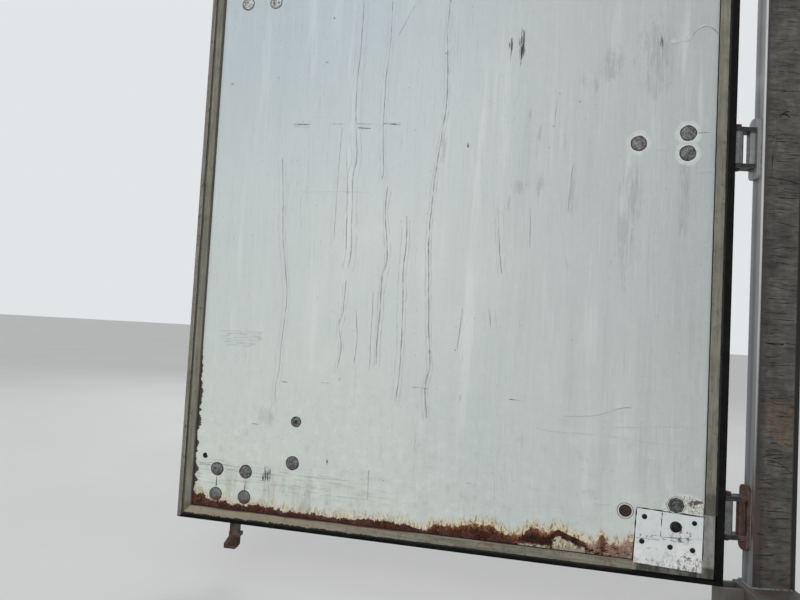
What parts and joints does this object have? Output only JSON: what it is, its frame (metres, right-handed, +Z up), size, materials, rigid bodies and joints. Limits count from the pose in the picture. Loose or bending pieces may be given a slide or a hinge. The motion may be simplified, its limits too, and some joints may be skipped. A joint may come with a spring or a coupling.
{
  "type": "semi trailer rear swing door on its corner post",
  "caption": "Tall flat rear door leaf of a box semi trailer, with edge seal, strap hinges, lock rod and handle, swung open on its narrow steel corner post.",
  "frame": {"origin": "middle of the corner post's section, on the underside of the foot plate", "axes": "+X towards the trailer's front, +Y to its left side, +Z up; the leaf stands open, swung rearwards"},
  "size_m": [1.401, 0.3505, 2.95],
  "materials": {
    "frame_steel": "worn",
    "hinge_steel": "rusty",
    "pin_steel": "dull",
    "hardware_steel": "dull zinc",
    "cam_steel": "rusty",
    "skin_paint": "worn white",
    "patch_paint": "worn white",
    "plywood": "raw",
    "seal_channel": "dusty",
    "seal_fin": "matte"
  },
  "bodies": {
    "post": {"corner_post": "frame_steel", "post_head_plate": "frame_steel", "sill_end": "frame_steel", "foot_plate": "frame_steel", "corner_bumper": "frame_steel", "hinge_butt_1": "hinge_steel", "hinge_butt_2": "hinge_steel", "hinge_butt_3": "hinge_steel", "hinge_butt_4": "hinge_steel", "hinge_pin_1": "pin_steel", "hinge_pin_2": "pin_steel", "hinge_pin_3": "pin_steel", "hinge_pin_4": "pin_steel"},
    "leaf": {"inner_skin": "skin_paint", "plywood_core": "plywood", "outer_skin": "skin_paint", "seal_channel_bottom": "seal_channel", "seal_channel_hinge": "seal_channel", "seal_channel_top": "seal_channel", "seal_channel_free": "seal_channel", "seal_fins_bottom": "seal_fin", "seal_fins_hinge": "seal_fin", "seal_fins_top": "seal_fin", "seal_fins_free": "seal_fin", "hinge_strap_1": "hardware_steel", "hinge_strap_2": "hardware_steel", "hinge_strap_3": "hardware_steel", "hinge_strap_4": "hardware_steel", "rod_bearing_bottom": "hardware_steel", "rod_bearing_middle": "hardware_steel", "rod_bearing_top": "hardware_steel", "repair_plate": "patch_paint", "handle_catch": "hardware_steel", "catch_ledge": "hardware_steel"},
    "rod": {"lock_rod": "hardware_steel", "rod_cam_bottom": "cam_steel", "rod_cam_top": "cam_steel", "handle_hub": "hardware_steel", "handle_pivot_pin": "pin_steel"},
    "handle": {"lock_handle": "hardware_steel"}
  },
  "joints": [
    {"name": "door_swing", "type": "hinge", "parent": "post", "child": "leaf", "pos_m": [-0.091, 0.002, 1.491], "axis": [0, 0, -1], "range_deg": [-100, 155]},
    {"name": "rod_turn", "type": "hinge", "parent": "leaf", "child": "rod", "pos_m": [-1.21104, 0.20051, 0.356], "axis": [0, 0, 1], "range_deg": [0, 150]},
    {"name": "handle_lift", "type": "hinge", "parent": "rod", "child": "handle", "pos_m": [-1.17165, 0.19356, 0.356], "axis": [-0.1736, -0.9848, 0], "range_deg": [0, 25]}
  ]
}
